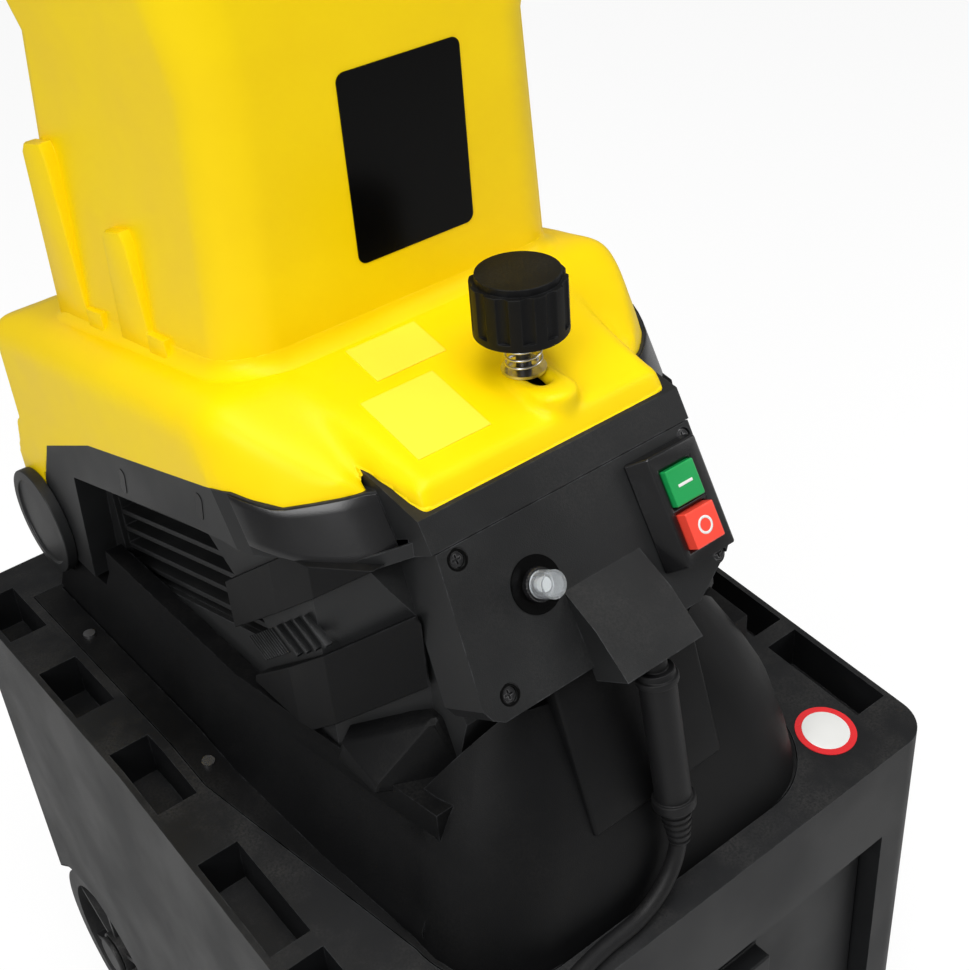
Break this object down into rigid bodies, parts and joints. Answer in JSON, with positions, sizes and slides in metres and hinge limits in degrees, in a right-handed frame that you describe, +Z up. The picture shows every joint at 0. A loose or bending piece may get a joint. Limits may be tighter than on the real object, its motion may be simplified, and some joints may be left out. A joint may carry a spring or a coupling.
{
  "type": "garden shredder",
  "caption": "Electric wood chipper: feed hopper on a hinged cover with a knob lock, knife disc on a tilted motor, switch panel, wheeled stand and a pull-out collection box.",
  "frame": {"origin": "on the floor, under the middle of the stand", "axes": "+Z up, front with the switch panel towards -Y, +X to the right when looking along +Y"},
  "size_m": [0.412, 0.56, 1.01],
  "materials": {
    "stand_plastic": "fine grained dark grey plastic",
    "rubber": "matt black rubber",
    "zinc_steel": "bright zinc plated steel",
    "wheel_plastic": "satin black plastic",
    "housing_plastic": "fine grained black plastic",
    "cast_metal": "die cast aluminium, plain",
    "blade_steel": "ground tool steel",
    "black_steel": "blackened steel",
    "motor_paint": "satin black paint",
    "core_steel": "stack of bare steel sheets",
    "copper": "copper",
    "fan_plastic": "glass filled nylon",
    "brass": "plain brass",
    "black_gloss": "smooth black plastic",
    "button_green": "smooth green plastic",
    "button_red": "smooth red plastic",
    "label_dark": "thin printed film, black",
    "button_white": "smooth white plastic",
    "clear_rubber": "clear soft vinyl",
    "cover_yellow": "fine grained bright yellow plastic",
    "label_yellow": "thin printed film, yellow",
    "label_red": "thin printed film, red and white"
  },
  "bodies": {
    "stand": {"chassis": "stand_plastic", "front_feet": "rubber", "axle": "zinc_steel", "hub_caps": "wheel_plastic", "lower_housing": "housing_plastic", "housing_screws": "zinc_steel", "motor_housing": "housing_plastic", "corner_guards": "housing_plastic", "vent_grille_left": "housing_plastic", "vent_grille_right": "housing_plastic", "discharge_chute": "housing_plastic", "cutter_chamber": "cast_metal", "counter_blade": "blade_steel", "motor_case": "motor_paint", "motor_end_cap": "motor_paint", "stator_core": "core_steel", "stator_windings": "copper", "motor_bearings": "zinc_steel", "brush_holders": "brass", "control_box": "housing_plastic", "control_screws": "zinc_steel", "switch_frame": "black_gloss", "switch_body": "black_gloss", "breaker_plate": "label_dark", "breaker_nut": "zinc_steel", "breaker_body": "black_gloss", "breaker_boot": "clear_rubber", "cord_sleeve": "rubber", "power_cord": "rubber", "plug_body": "rubber", "plug_pins": "zinc_steel", "step_sign": "label_red", "hinge_pins": "zinc_steel", "hinge_caps": "housing_plastic", "lock_nut": "brass", "safety_switch": "black_gloss"},
    "cover": {"top_cover": "cover_yellow", "hopper": "cover_yellow", "feed_funnel": "cover_yellow", "rating_plate": "label_dark", "deck_labels": "label_yellow", "lock_washer": "zinc_steel", "lock_spring": "zinc_steel", "safety_key": "housing_plastic"},
    "knob_seat": {"spring_seat": "zinc_steel"},
    "knob": {"lock_knob": "housing_plastic", "lock_bolt": "black_steel"},
    "green_key": {"green_button": "button_green"},
    "red_key": {"red_button": "button_red"},
    "reset_key": {"reset_button": "button_white"},
    "cutter": {"cutter_disc": "blade_steel", "disc_blades": "blade_steel", "cutter_screws": "black_steel", "motor_shaft": "blade_steel", "rotor_core": "core_steel", "commutator": "copper", "motor_fan": "fan_plastic"},
    "left_wheel": {"wheel_left": "wheel_plastic"},
    "right_wheel": {"wheel_right": "wheel_plastic"},
    "box": {"collection_box": "stand_plastic"}
  },
  "joints": [
    {"name": "cover_hinge", "type": "hinge", "parent": "stand", "child": "cover", "pos_m": [0, 0.216, 0.455], "axis": [-1, 0, 0], "range_deg": [0, 65]},
    {"name": "lock_press", "type": "slide", "parent": "cover", "child": "knob_seat", "axis": [0, 0, -1], "range_m": [0, 0.01], "stiffness_N_per_m": 800, "springref_m": -0.004, "deforming": ["lock_spring"]},
    {"name": "lock_turn", "type": "hinge", "parent": "knob_seat", "child": "knob", "pos_m": [0.017, -0.115, 0.663], "axis": [0, 0, 1], "continuous": true},
    {"name": "green_press", "type": "slide", "parent": "stand", "child": "green_key", "axis": [0, 0.866, -0.5], "range_m": [0, 0.003], "stiffness_N_per_m": 300, "springref_m": -0.002},
    {"name": "red_press", "type": "slide", "parent": "stand", "child": "red_key", "axis": [0, 0.866, -0.5], "range_m": [0, 0.003], "stiffness_N_per_m": 300, "springref_m": -0.002},
    {"name": "reset_pop", "type": "slide", "parent": "stand", "child": "reset_key", "axis": [0, -0.866, 0.5], "range_m": [0, 0.002]},
    {"name": "cutter_spin", "type": "hinge", "parent": "stand", "child": "cutter", "pos_m": [0, -0.012, 0.57], "axis": [0, 0.4067, 0.9135], "continuous": true},
    {"name": "left_wheel_spin", "type": "hinge", "parent": "stand", "child": "left_wheel", "pos_m": [0, 0.18, 0.075], "axis": [1, 0, 0], "continuous": true},
    {"name": "right_wheel_spin", "type": "hinge", "parent": "stand", "child": "right_wheel", "pos_m": [0, 0.18, 0.075], "axis": [1, 0, 0], "continuous": true},
    {"name": "box_slide", "type": "slide", "parent": "stand", "child": "box", "axis": [0, -1, 0], "range_m": [0, 0.4]}
  ]
}
